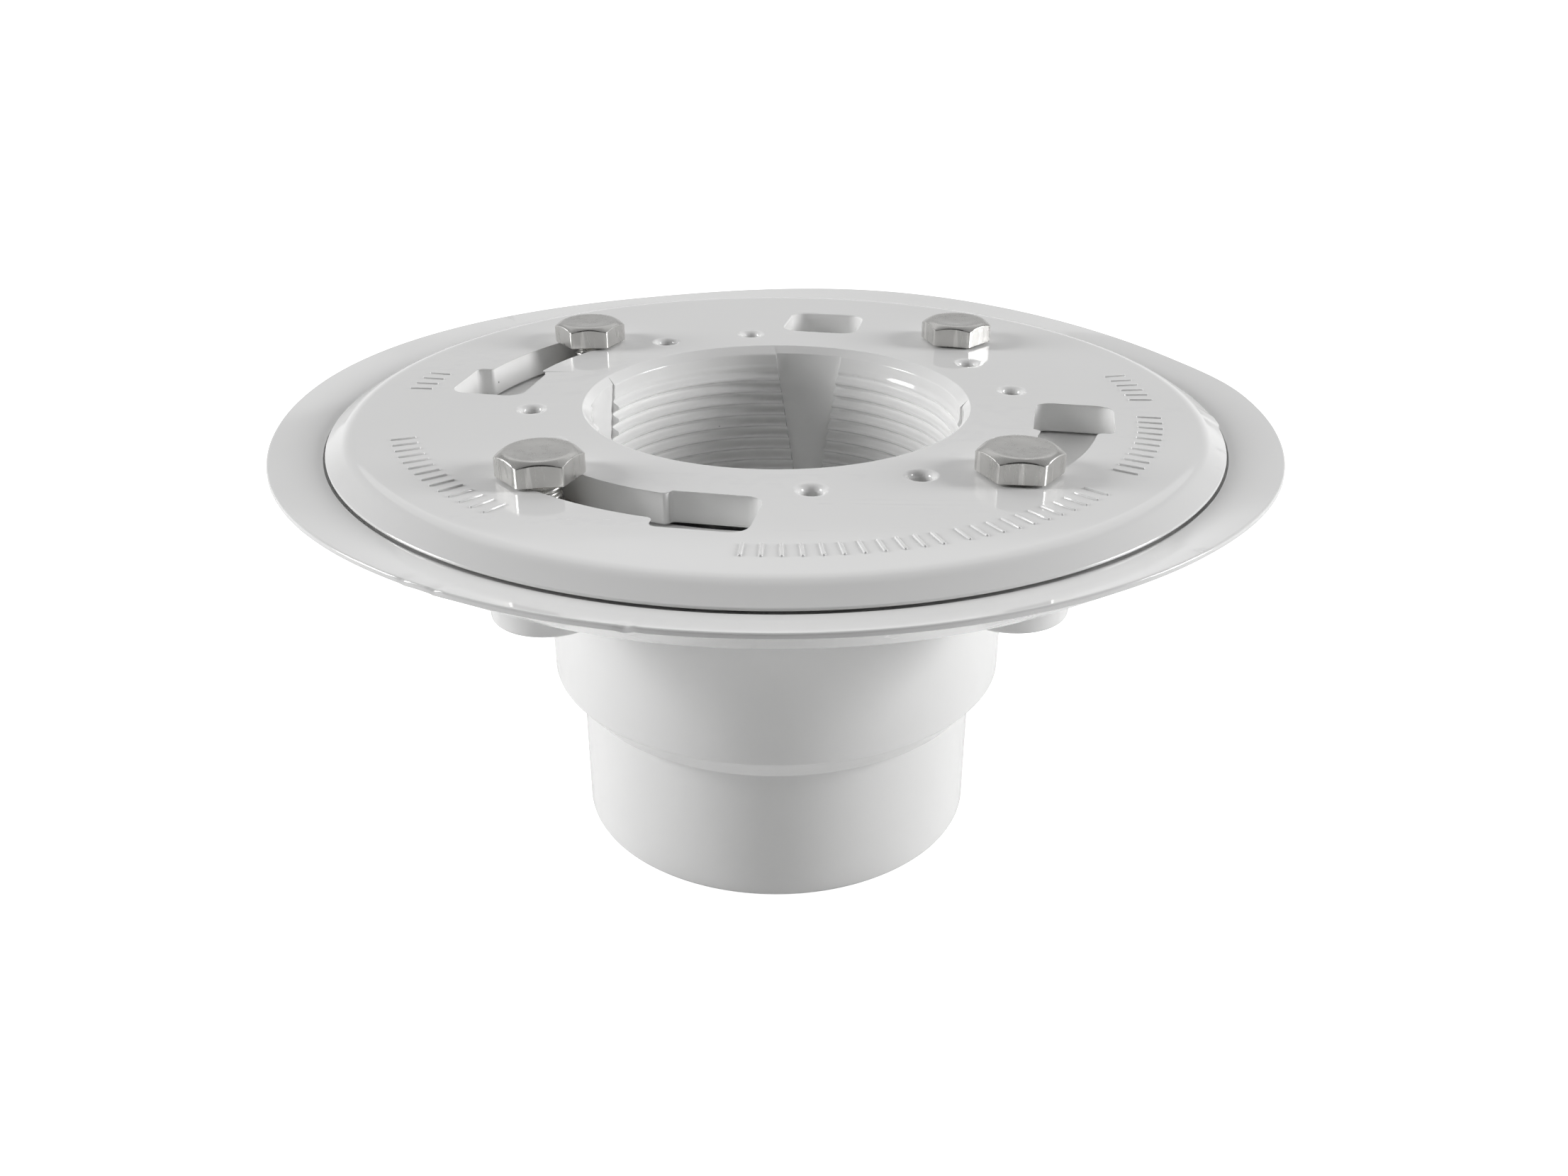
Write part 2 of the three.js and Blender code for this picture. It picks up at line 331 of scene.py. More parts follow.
def make_object(name, shell, sharp_degrees=32.0, weld=1e-4):
    """A Blender object from a shell, welded, facing outwards and smooth up to an angle."""
    mesh = bpy.data.meshes.new(name)
    mesh.from_pydata(shell.points, [], shell.faces)
    work = bmesh.new()
    work.from_mesh(mesh)
    bmesh.ops.remove_doubles(work, verts=work.verts, dist=weld)
    bmesh.ops.dissolve_degenerate(work, dist=weld, edges=work.edges)
    bmesh.ops.recalc_face_normals(work, faces=work.faces)
    bmesh.ops.scale(work, vec=(MM, MM, MM), verts=work.verts)
    work.to_mesh(mesh)
    work.free()
    piece = bpy.data.objects.new(name, mesh)
    bpy.context.scene.collection.objects.link(piece)
    soften(piece, sharp_degrees)
    return piece


def soften(piece, sharp_degrees):
    """Smooth shading between edges sharper than an angle, weighted by face area."""
    piece.data.shade_smooth()
    piece.data.set_sharp_from_angle(angle=math.radians(sharp_degrees))
    if "weighted" not in piece.modifiers:
        weighted = piece.modifiers.new("weighted", "WEIGHTED_NORMAL")
        weighted.keep_sharp = True
        weighted.weight = 100


def carve(piece, tools, operation):
    """Join tools to a piece, or cut them from it, and drop the tools."""
    for tool in tools:
        modifier = piece.modifiers.new("carve", "BOOLEAN")
        modifier.operation = operation
        modifier.solver = "EXACT"
        modifier.object = tool
    graph = bpy.context.evaluated_depsgraph_get()
    carved = bpy.data.meshes.new_from_object(piece.evaluated_get(graph))
    piece.modifiers.clear()
    piece.data = carved
    for tool in tools:
        bpy.data.objects.remove(tool)


# ---- drain base -------------------------------------------------------------------------------------

def brim_warp(azimuth):
    """How far the moulded brim has bent up or down at an azimuth."""
    place = azimuth - 360 if azimuth > BRIM_WARP[-1][0] else azimuth
    for (first, low), (last, high) in zip(BRIM_WARP, BRIM_WARP[1:]):
        if first <= place <= last:
            return low + (high - low) * smooth_step(first, last, place)
    return 0.0


def brim_shape(radius, height, azimuth):
    """The brim's warp, which fades out at the recess's edge, and the knocks on its rim."""
    share = smooth_step(RECESS_RADIUS, RIM_RADIUS, radius) * smooth_step(UNDERSIDE, UNDERSIDE + 4.0, height)
    at_rim = smooth_step(RIM_RADIUS - 0.6, RIM_RADIUS - 0.1, radius)
    for knock, half_angle, depth in RIM_KNOCKS:
        turn = abs((azimuth - knock + 180) % 360 - 180)
        dent = smooth_step(half_angle, 0.0, turn) * at_rim * depth
        height -= dent
        radius -= max(dent, 0.0) * 0.6
    return radius, height + brim_warp(azimuth) * share


def base_profile():
    """The base's wall from the outlet's foot, up the outside, over the flange and down the inside."""
    brim = [(RIM_RADIUS - inward, RIM_TOP - drop, 0.0) for inward, drop in BRIM_POINTS]
    corners = [
        (OUTLET_RADIUS, 0.0, 0.8),
        (OUTLET_RADIUS, OUTLET_TOP, 0.3),
        (LEDGE_RADIUS, OUTLET_TOP, 0.35),
        (UPPER_RADIUS, STEP_TOP, 0.7),
        (UPPER_RADIUS, UNDERSIDE, 1.0),
        (UNDERSIDE_RADIUS, UNDERSIDE, 0.4),
        (RIM_RADIUS, RIM_TOP - RIM_EDGE, 0.2),
        (RIM_RADIUS, RIM_TOP, 0.3),
        *brim,
        (RECESS_RADIUS, RECESS_TOP, 0.1),
        (RECESS_RADIUS, LEDGE_FLOOR, 0.2),
        (DISH_RADIUS, DISH_FLOOR, 2.0),
        (MOUTH_RADIUS, DISH_FLOOR, 0.8),
        (BORE_RADIUS, MOUTH_FLOOR, 0.8),
        (BORE_RADIUS, BORE_FLOOR, 2.0),
        (SHOULDER_RADIUS, SHOULDER_HEIGHT, 2.0),
        (WATERWAY_RADIUS, CONE_FOOT, 2.0),
        (WATERWAY_RADIUS, SOCKET_DEPTH, 0.3),
        (SOCKET_RADIUS, SOCKET_DEPTH, 0.4),
        (SOCKET_RADIUS, 0.0, 0.7),
    ]
    return rounded(corners, closed=True)


def stand(radius, foot, top, x, y, foot_round):
    """A round post whose foot has a rounded edge."""
    shell = Shell()
    profile = rounded([(0.4, foot, 0.0), (radius, foot, foot_round), (radius, top, 0.0)])
    loops = []
    for r, z in profile:
        loops.append(shell.loop([(px, py, z) for px, py in circle(r, 96, x, y)]))
    shell.stack(loops)
    shell.fill(loops[0])
    shell.fill(loops[-1])
    return shell


def web(azimuth):
    """A flat web between a boss and the hub."""
    shell = Shell()
    outline = [
        (BORE_RADIUS + 1.5, -WEB_WIDTH / 2),
        (BOLT_CIRCLE, -WEB_WIDTH / 2),
        (BOLT_CIRCLE, WEB_WIDTH / 2),
        (BORE_RADIUS + 1.5, WEB_WIDTH / 2),
    ]
    cosine, sine = polar(1.0, azimuth)
    turned = [(x * cosine - y * sine, x * sine + y * cosine) for x, y in outline]
    loops = shell.edge(turned, [(0, WEB_FOOT), (0, DISH_FLOOR - 1)])
    shell.fill(loops[0])
    shell.fill(loops[1])
    return shell


def build_base():
    """The base with its bosses, webs and insert pockets."""
    shell = Shell()
    loops = shell.turned(base_profile(), ROUND_COLUMNS * 2, brim_shape)
    shell.bridge(loops[-1], loops[0])
    base = make_object("base_moulding", shell)
    joined = []
    pockets = []
    for i in range(len(SIDES)):
        azimuth = BOLT_AZIMUTH + 90 * i
        x, y = polar(BOLT_CIRCLE, azimuth)
        joined.append(make_object("boss", stand(BOSS_RADIUS, BOSS_FOOT, DISH_FLOOR - 1, x, y, 0.6)))
        joined.append(make_object("web", web(azimuth)))
        pockets.append(make_object("pocket", stand(POCKET_RADIUS, POCKET_FOOT, RING_TOP, x, y, 0.5)))
    carve(base, joined, "UNION")
    carve(base, pockets, "DIFFERENCE")
    soften(base, 32.0)
    return base


# ---- clamping ring ----------------------------------------------------------------------------------

def wide_corner(azimuth, radial, tangent):
    """A point of the wide opening beside the bolt at an azimuth, from its own centre."""
    outward = Vector(polar(1.0, azimuth + WIDE_TURN))
    across = Vector((-outward.y, outward.x))
    spot = outward * (BOLT_CIRCLE + radial) + across * tangent
    return spot.x, spot.y


def wide_outline(azimuth):
    """The wide opening alone, clockwise, so that the plate lies to its left."""
    high = WIDE_RADIAL / 2
    half = WIDE_ACROSS / 2
    places = ((-high, -half), (high, -half), (high, half), (-high, half))
    return rounded([(*wide_corner(azimuth, *place), 3.0) for place in reversed(places)], closed=True, steps=6)


def keyhole_outline(azimuth):
    """A keyhole slot, clockwise, so that the plate lies to its left."""
    slot_half = (SLOT_OUTER - SLOT_INNER) / 2
    start_turn = -math.degrees((SHANK_RADIUS + 0.3) / BOLT_CIRCLE)
    high = WIDE_RADIAL / 2
    half = WIDE_ACROSS / 2
    steps = 9

    def arc(radius, first, last):
        return [(*polar(radius, azimuth + first + (last - first) * k / steps), 0.0) for k in range(2, steps)]

    def meeting(radius):
        return (*wide_corner(azimuth, math.sqrt(radius ** 2 - half ** 2) - BOLT_CIRCLE, -half), 0.7)

    def last_turn(radius):
        return WIDE_TURN - math.degrees(math.asin(half / radius))

    corners = [
        (*polar(SLOT_INNER, azimuth + start_turn), slot_half - 0.2),
        (*polar(SLOT_OUTER, azimuth + start_turn), slot_half - 0.2),
        *arc(SLOT_OUTER, start_turn, last_turn(SLOT_OUTER)),
        meeting(SLOT_OUTER),
        (*wide_corner(azimuth, high, -half), 1.4),
        (*wide_corner(azimuth, high, half), 3.0),
        (*wide_corner(azimuth, -high, half), 3.0),
        (*wide_corner(azimuth, -high, -half), 0.6),
        meeting(SLOT_INNER),
        *arc(SLOT_INNER, last_turn(SLOT_INNER), start_turn),
    ]
    return rounded(corners, closed=True, steps=6)


def throat_rows():
    """Heights down the throat with the radius there, the thread's row number and the helix's share."""
    rows = []
    mouth = rounded([
        (MOUTH_LIP_RADIUS, RING_TOP, 0.0),
        (THROAT_RADIUS, RING_TOP, 0.35),
        (COUNTERBORE_RADIUS, RING_TOP - CHAMFER_DEPTH, 0.5),
        (COUNTERBORE_RADIUS, RING_TOP - THREAD_TOP, 0.0),
    ])
    for radius, height in mouth:
        rows.append((height, radius, None, 0.0))
    step = THREAD_PITCH / THREAD_ROWS
    foot = NECK_FOOT + THREAD_RUN_OUT
    count = int((RING_TOP - THREAD_TOP - foot) / step)
    for k in range(1, count):
        height = RING_TOP - THREAD_TOP - k * step
        share = smooth_step(0, 6, k) * smooth_step(0, 6, count - k)
        rows.append((height, THREAD_ROOT, k, share))
    for radius, height in rounded([
        (THREAD_ROOT - 0.3, foot, 0.0),
        (THREAD_ROOT - 0.3, NECK_FOOT, 0.3),
        (NECK_RADIUS, NECK_FOOT, 0.5),
        (NECK_RADIUS, PLATE_FOOT, 1.0),
        (NECK_RADIUS + 3.0, PLATE_FOOT, 0.0),
    ]):
        rows.append((height, radius, None, 0.0))
    return rows


def thread_depth(row):
    """How far a row of the thread lies between crest (0) and root (1)."""
    place = row % THREAD_ROWS
    if place <= 8:
        return smooth_step(1.5, 7.0, place)
    return 1 - smooth_step(8.0, THREAD_ROWS, place)


def notch_half_angle(height):
    """Half of a channel's width at a height, as an angle about the axis."""
    share = (RING_TOP - height) / (RING_TOP - NECK_FOOT)
    width = NOTCH_TOP_WIDTH + (NOTCH_FOOT_WIDTH - NOTCH_TOP_WIDTH) * min(max(share, 0.0), 1.0)
    return math.degrees(math.asin(width / 2 / THREAD_ROOT))


def throat_row(height, radius, row, share, past_foot):
    """One row of points round the throat: four channel floors and four threaded walls."""
    points = []
    half = notch_half_angle(height)
    sector_span = 360 // NOTCH_COUNT
    wall_span = sector_span - 2 * half
    helix = THREAD_PITCH * wall_span / 360 / 2 * share
    for sector in range(NOTCH_COUNT):
        centre = NOTCH_AZIMUTH + sector_span * sector
        floor_radius = radius if past_foot else max(radius, NOTCH_FLOOR_RADIUS)
        for k in range(NOTCH_STEPS + 1):
            azimuth = centre - half + 2 * half * k / NOTCH_STEPS
            z = height + helix * (1 - 2 * k / NOTCH_STEPS)
            points.append((*polar(floor_radius, azimuth), z))
        wall = radius
        turned_rows = THREAD_ROWS // NOTCH_COUNT * sector
        if row is not None:
            full = THREAD_CREST + (THREAD_ROOT - THREAD_CREST) * thread_depth(row + turned_rows)
            fade = smooth_step(0, THREAD_FADE_ROWS, row)
            wall = COUNTERBORE_RADIUS + (full - COUNTERBORE_RADIUS) * fade
        for k in range(WALL_STEPS + 1):
            azimuth = centre + half + wall_span * k / WALL_STEPS
            z = height + helix * (2 * k / WALL_STEPS - 1)
            points.append((*polar(wall, azimuth), z))
    return points


def ring_edge_profile():
    """The plate's outer edge from the flat top, over the shoulder, to the flat underside."""
    return rounded([
        (FLAT_RADIUS, RING_TOP, 0.0),
        (FLANK_TOP_RADIUS, RING_TOP, FLANK_ROUND),
        (RING_RADIUS, EDGE_TOP, 0.32),
        (RING_RADIUS, EDGE_FOOT, 0.06),
        (PLATE_DISH_RADIUS, PLATE_FOOT, 2.0),
        (PLATE_SEAM_RADIUS, PLATE_FOOT, 0.0),
    ], steps=8)


def gate_mark(radius, height, azimuth):
    """The stub left on the ring's edge where the mould was filled."""
    turn = abs((azimuth - GATE_AZIMUTH + 180) % 360 - 180)
    share = smooth_step(GATE_HALF_ANGLE, GATE_HALF_ANGLE - 1.2, turn) * smooth_step(70.6, 70.9, radius)
    return radius + GATE_STANDS_OUT * share, height


def slot_edge(edge_round=0.35, foot_round=0.1):
    """Sideways and height steps down a slot's wall with rounded lips."""
    steps = []
    for k in range(6):
        angle = math.pi / 2 * k / 5
        steps.append((edge_round * (1 - math.sin(angle)), RING_TOP - edge_round * (1 - math.cos(angle))))
    steps.append((0.0, PLATE_FOOT + foot_round))
    steps.append((foot_round, PLATE_FOOT))
    return steps


def tick_edge():
    """Sideways and height steps up a raised tick with a rounded top."""
    slope = TICK_WIDTH * 0.3
    steps = [(0.0, RING_TOP)]
    for k in range(4):
        angle = math.pi / 2 * k / 3
        height = RING_TOP + TICK_HEIGHT * (0.6 + 0.4 * math.sin(angle))
        steps.append((slope * (1.3 - math.cos(angle)), height))
    return steps


def tick_azimuths():
    """Where the ticks stand: evenly along each arc."""
    azimuths = []
    for first, last in TICK_ARCS:
        count = round((last - first) / TICK_STEP)
        azimuths.extend(first + (last - first) * k / count for k in range(count + 1))
    return azimuths


def weep_edge():
    """Sideways and height steps down a weep hole: a dished mouth over a straight hole."""
    lip = WEEP_MOUTH - WEEP_RADIUS
    steps = []
    for k in range(7):
        angle = math.pi / 2 * k / 6
        steps.append((lip * (1 - math.sin(angle)), RING_TOP - 1.1 * (1 - math.cos(angle))))
    steps.append((0.0, PLATE_FOOT + 0.15))
    steps.append((0.15, PLATE_FOOT))
    return steps


def tick_outline(azimuth):
    """A short raised bar that points at the axis, counter-clockwise."""
    outward = Vector(polar(1.0, azimuth))
    across = Vector((-outward.y, outward.x))
    corners = []
    for side, along in ((1, -1), (1, 1), (-1, 1), (-1, -1)):
        spot = outward * (TICK_RADIUS + side * TICK_LENGTH / 2) + across * (along * TICK_WIDTH / 2)
        corners.append((spot.x, spot.y, TICK_WIDTH * 0.45))
    return rounded(corners, closed=True, steps=3)


def add_hole(shell, outline, steps, top_holes, foot_holes):
    """Cut one hole through the plate: its wall, and its edge in both flat faces."""
    loops = shell.edge(outline, steps)
    top_holes.append(loops[0])
    foot_holes.append(loops[-1])


def build_ring():
    """The clamping ring with its threaded throat, keyhole slots, weep holes and raised ticks."""
    shell = Shell()
    outer = shell.turned(ring_edge_profile(), ROUND_COLUMNS * 2, gate_mark)
    inner = []
    past_foot = False
    for height, radius, row, share in throat_rows():
        past_foot = past_foot or (radius > NOTCH_FLOOR_RADIUS and height < RING_TOP - 10)
        inner.append(shell.loop(throat_row(height, radius, row, share, past_foot)))
    shell.stack(inner)
    top_holes = [inner[0]]
    foot_holes = [inner[-1]]
    for i, side in enumerate(SIDES):
        azimuth = BOLT_AZIMUTH + 90 * i
        if side in SLOTTED_SIDES:
            add_hole(shell, keyhole_outline(azimuth), slot_edge(), top_holes, foot_holes)
        else:
            plain_hole = circle(HOLE_RADIUS, 72, *polar(BOLT_CIRCLE, azimuth))[::-1]
            add_hole(shell, wide_outline(azimuth), slot_edge(), top_holes, foot_holes)
            add_hole(shell, plain_hole, slot_edge(), top_holes, foot_holes)
        for weep_azimuth in WEEP_AZIMUTHS:
            outline = circle(WEEP_RADIUS, 48, *polar(WEEP_CIRCLE, weep_azimuth + 90 * i))[::-1]
            add_hole(shell, outline, weep_edge(), top_holes, foot_holes)
    for azimuth in tick_azimuths():
        loops = shell.edge(tick_outline(azimuth), tick_edge())
        shell.fill(loops[-1])
        top_holes.append(loops[0])
    shell.fill(outer[0], top_holes)
    shell.fill(outer[-1], foot_holes)
    return make_object("ring_moulding", shell)


# ---- bolts and inserts ------------------------------------------------------------------------------

def hexagon_radius(degrees, apothem, corner_round=0.35):
    """Distance from a hexagon's centre to its side in a direction, with slightly rounded corners."""
    turn = math.radians((degrees % 60) - 30)
    sharp = apothem / math.cos(turn)
    corner = apothem / math.cos(math.radians(30)) - corner_round * 0.155
    return min(sharp, corner)


def helical_rows(low, high, root, crest, pitch, columns):
    """Loops of a thread between two heights; each column's points slide up along the helix."""
    per_turn = 10
    turns = math.ceil((high - low) / pitch) + 1
    loops = []
    for q in range(turns * per_turn + 1):
        ring = []
        for i in range(columns):
            share = i / columns
            z = low + pitch * (q / per_turn + share - 1)
            depth = thread_depth((q % per_turn) * THREAD_ROWS / per_turn)
            fade = smooth_step(low, low + pitch, z) * smooth_step(high, high - pitch, z)
            r = crest + (root - crest) * depth * fade
            if z <= low or z >= high:
                r = crest
            z = min(max(z, low), high)
            ring.append((*polar(r, 360 * share), z))
        loops.append(ring)
    return loops, per_turn


def add_thread(shell, low, high, root, crest, pitch, columns=96):
    """Put a helical thread into a shell."""
    rows, per_turn = helical_rows(low, high, root, crest, pitch, columns)
    numbered = [shell.loop(row) for row in rows]
    last = columns - 1
    for q in range(len(numbered) - 1):
        here, after = numbered[q], numbered[q + 1]
        for i in range(last):
            shell.faces.append((here[i], here[i + 1], after[i + 1], after[i]))
        ahead = q + per_turn
        if ahead + 1 < len(numbered):
            shell.faces.append((here[last], numbered[ahead][0], numbered[ahead + 1][0], after[last]))


def build_bolt(side):
    """A hex bolt: chamfered head with a flat crown, threaded shank and pointed tip."""
    low, high = box_mm(f"bolt_{side}")
    seat = high.z - HEAD_HEIGHT
    tip = low.z
    apothem = ACROSS_FLATS / 2
    shell = Shell()
    columns = 144

    def head_loop(radius_at, height_at):
        points = []
        for i in range(columns):
            azimuth = 360 * i / columns
            reach = hexagon_radius(azimuth - HEX_TURNS[side], apothem)
            r = radius_at(reach)
            points.append((*polar(r, azimuth), height_at(reach)))
        return shell.loop(points)

    slope = math.tan(math.radians(30))

    def chamfer_height(reach):
        return high.z - max(reach - CROWN_RADIUS, 0) * slope

    loops = [
        head_loop(lambda reach: DIMPLE_RADIUS * 0.5, lambda reach: high.z - DIMPLE_DEPTH),
        head_loop(lambda reach: DIMPLE_RADIUS, lambda reach: high.z - DIMPLE_DEPTH * 0.8),
        head_loop(lambda reach: DIMPLE_RADIUS + 0.5, lambda reach: high.z - DIMPLE_DEPTH * 0.1),
        head_loop(lambda reach: CROWN_RADIUS - 0.6, lambda reach: high.z),
        head_loop(lambda reach: CROWN_RADIUS - 0.12, lambda reach: high.z),
        head_loop(lambda reach: CROWN_RADIUS + 0.1, lambda reach: high.z - 0.1 * slope - 0.01),
        head_loop(lambda reach: reach - 0.14, lambda reach: chamfer_height(reach - 0.14)),
        head_loop(lambda reach: reach - 0.03, lambda reach: chamfer_height(reach) - 0.02),
        head_loop(lambda reach: reach, lambda reach: chamfer_height(reach) - 0.12),
        head_loop(lambda reach: reach, lambda reach: seat + 0.15),
        head_loop(lambda reach: reach - 0.12, lambda reach: seat + 0.02),
        head_loop(lambda reach: apothem - 0.25, lambda reach: seat + 0.02),
        head_loop(lambda reach: apothem - 0.3, lambda reach: seat),
        head_loop(lambda reach: SHANK_RADIUS + 0.3, lambda reach: seat),
        head_loop(lambda reach: SHANK_RADIUS, lambda reach: seat - 0.3),
    ]
    shell.stack(loops)
    shell.fill(loops[0])
    thread_foot = tip + TIP_THREAD_START
    add_thread(shell, thread_foot, seat - 0.3, SHANK_ROOT, SHANK_RADIUS, BOLT_PITCH, columns)
    end = []
    for radius, rise in ((SHANK_RADIUS, TIP_THREAD_START), *TIP_POINTS):
        end.append(shell.loop([(*polar(radius, 360 * i / columns), tip + rise) for i in range(columns)]))
    shell.stack(end)
    shell.fill(end[-1])
    bolt = make_object(f"hex_bolt_{side}", shell)
    centre = (low + high) / 2 * MM
    return bolt, centre


def build_insert(side):
    """A brass bush with a threaded bore."""
    low, high = box_mm(f"insert_{side}")
    outer = (high.x - low.x) / 2
    shell = Shell()
    columns = 96
    foot, top = low.z, high.z
    profile = rounded([
        (INSERT_BORE, foot, 0.0),
        (outer, foot, 0.3),
        (outer, top, 0.3),
        (INSERT_MOUTH, top, 0.0),
        (INSERT_BORE, top - INSERT_LEAD_IN, 0.0),
    ])
    shell.turned(profile, columns)
    add_thread(shell, foot, top - INSERT_LEAD_IN, INSERT_ROOT, INSERT_BORE, BOLT_PITCH, columns)
    insert = make_object(f"brass_insert_{side}", shell)
    centre = (low + high) / 2 * MM
    return insert, centre


def place_at(piece, centre):
    """Move a piece made about the Z axis to its own axis."""
    for vertex in piece.data.vertices:
        vertex.co.x += centre.x
        vertex.co.y += centre.y


# ---- materials --------------------------------------------------------------------------------------

class Nodes:
    """Short calls for building one material's node tree."""

    def __init__(self, name):
        self.material = bpy.data.materials.new(name)
        self.material.use_nodes = True
        self.tree = self.material.node_tree
        self.shader = self.tree.nodes["Principled BSDF"]
        self.place = self.add("ShaderNodeTexCoord").outputs["Object"]

    def add(self, kind, **values):
        node = self.tree.nodes.new(kind)
        for key, value in values.items():
            setattr(node, key, value)
        return node

    def join(self, source, target):
        self.tree.links.new(source, target)

    def noise(self, scale, detail=2.0, roughness=0.5, stretch=None):
        node = self.add("ShaderNodeTexNoise")
        node.inputs["Scale"].default_value = scale
        node.inputs["Detail"].default_value = detail
        node.inputs["Roughness"].default_value = roughness
        place = self.place
        if stretch:
            mapping = self.add("ShaderNodeMapping")
            mapping.inputs["Scale"].default_value = stretch
            self.join(self.place, mapping.inputs["Vector"])
            place = mapping.outputs["Vector"]
        self.join(place, node.inputs["Vector"])
        return node.outputs["Fac"]

    def spread(self, source, low, high, out_low, out_high):
        node = self.add("ShaderNodeMapRange")
        node.inputs["From Min"].default_value = low
        node.inputs["From Max"].default_value = high
        node.inputs["To Min"].default_value = out_low
        node.inputs["To Max"].default_value = out_high
        self.join(source, node.inputs["Value"])
        return node.outputs["Result"]

    def math(self, operation, first, second):
        node = self.add("ShaderNodeMath", operation=operation)
        for socket, value in zip(node.inputs, (first, second)):
            if isinstance(value, (int, float)):
                socket.default_value = value
            else:
                self.join(value, socket)
        return node.outputs["Value"]

    def mix(self, factor, first, second):
        node = self.add("ShaderNodeMix", data_type="RGBA")
        self.join(factor, node.inputs["Factor"])
        for key, value in (("A", first), ("B", second)):
            socket = next(s for s in node.inputs if s.name == key and s.type == "RGBA")
            if isinstance(value, tuple):
                socket.default_value = (*value, 1.0)
            else:
                self.join(value, socket)
        return next(s for s in node.outputs if s.type == "RGBA")

    def specks(self, scale, size):
        """1 in a small dot in about one cell in nine and 0 elsewhere."""
        node = self.add("ShaderNodeTexVoronoi")
        node.inputs["Scale"].default_value = scale
        self.join(self.place, node.inputs["Vector"])
        dots = self.spread(node.outputs["Distance"], size, size * 0.6, 0.0, 1.0)
        chosen = self.spread(node.outputs["Color"], 0.64, 0.66, 0.0, 1.0)
        return self.math("MULTIPLY", dots, chosen)

    def edges(self, low=0.52, high=0.6):
        """1 along convex edges and 0 on flats."""
        geometry = self.add("ShaderNodeNewGeometry")
        return self.spread(geometry.outputs["Pointiness"], low, high, 0.0, 1.0)

    def bump(self, height, strength, distance):
        node = self.add("ShaderNodeBump")
        node.inputs["Strength"].default_value = strength
        node.inputs["Distance"].default_value = distance
        self.join(height, node.inputs["Height"])
        self.join(node.outputs["Normal"], self.shader.inputs["Normal"])


def white_plastic(name, tone):
    """Glossy moulded white plastic with faint flow clouds, rare specks, soft ripples and scuffed edges."""
    nodes = Nodes(name)
    clouds = nodes.noise(18.0, 3.0)
    bright = tuple(tone * c for c in (1.0, 1.0, 0.995))
    dull = tuple(tone * c for c in (0.975, 0.975, 0.969))
    colour = nodes.mix(nodes.spread(clouds, 0.35, 0.65, 0.0, 1.0), bright, dull)
    colour = nodes.mix(nodes.specks(110.0, 0.022), colour, (0.16, 0.16, 0.155))
    scuffs = nodes.math("MULTIPLY", nodes.edges(), nodes.spread(nodes.noise(260.0, 4.0), 0.5, 0.62, 0.0, 0.7))
    colour = nodes.mix(scuffs, colour, (0.86, 0.86, 0.86))
    nodes.join(colour, nodes.shader.inputs["Base Color"])
    smear = nodes.spread(nodes.noise(45.0, 5.0, 0.6), 0.3, 0.7, 0.045, 0.1)
    gloss = nodes.math("ADD", smear, nodes.math("MULTIPLY", scuffs, 0.3))
    nodes.join(gloss, nodes.shader.inputs["Roughness"])
    nodes.shader.inputs["IOR"].default_value = 1.5
    dimples = nodes.noise(900.0, 2.0)
    waves = nodes.noise(120.0, 1.0)
    relief = nodes.math("ADD", nodes.math("MULTIPLY", dimples, 0.08), nodes.math("MULTIPLY", waves, 0.5))
    nodes.bump(relief, 0.12, 0.0001)
    return nodes.material


def zinc_steel():
    """Bright zinc plating over a forged head: fine streaks, cloudy plating and worn edges."""
    nodes = Nodes("zinc_steel")
    clouds = nodes.spread(nodes.noise(420.0, 4.0, 0.6), 0.3, 0.7, 0.0, 1.0)
    streaks = nodes.noise(900.0, 3.0, 0.7, stretch=(1.0, 1.0, 0.12))
    colour = nodes.mix(clouds, (0.6, 0.595, 0.58), (0.545, 0.54, 0.525))
    colour = nodes.mix(nodes.edges(), colour, (0.82, 0.81, 0.79))
    nodes.join(colour, nodes.shader.inputs["Base Color"])
    nodes.shader.inputs["Metallic"].default_value = 1.0
    rough = nodes.spread(streaks, 0.3, 0.7, 0.24, 0.36)
    nodes.join(rough, nodes.shader.inputs["Roughness"])
    grain = nodes.math("ADD", nodes.math("MULTIPLY", streaks, 0.6), nodes.math("MULTIPLY", clouds, 0.4))
    nodes.bump(grain, 0.2, 0.00003)
    return nodes.material


def turned_brass():
    """Dull turned brass with tool marks."""
    nodes = Nodes("turned_brass")
    stain = nodes.spread(nodes.noise(300.0, 4.0), 0.35, 0.65, 0.0, 1.0)
    colour = nodes.mix(stain, (0.72, 0.53, 0.24), (0.55, 0.38, 0.16))
    nodes.join(colour, nodes.shader.inputs["Base Color"])
    nodes.shader.inputs["Metallic"].default_value = 1.0
    nodes.join(nodes.spread(stain, 0.0, 1.0, 0.25, 0.45), nodes.shader.inputs["Roughness"])
    nodes.bump(nodes.noise(1500.0, 2.0, stretch=(0.2, 0.2, 1.0)), 0.3, 0.00005)
    return nodes.material


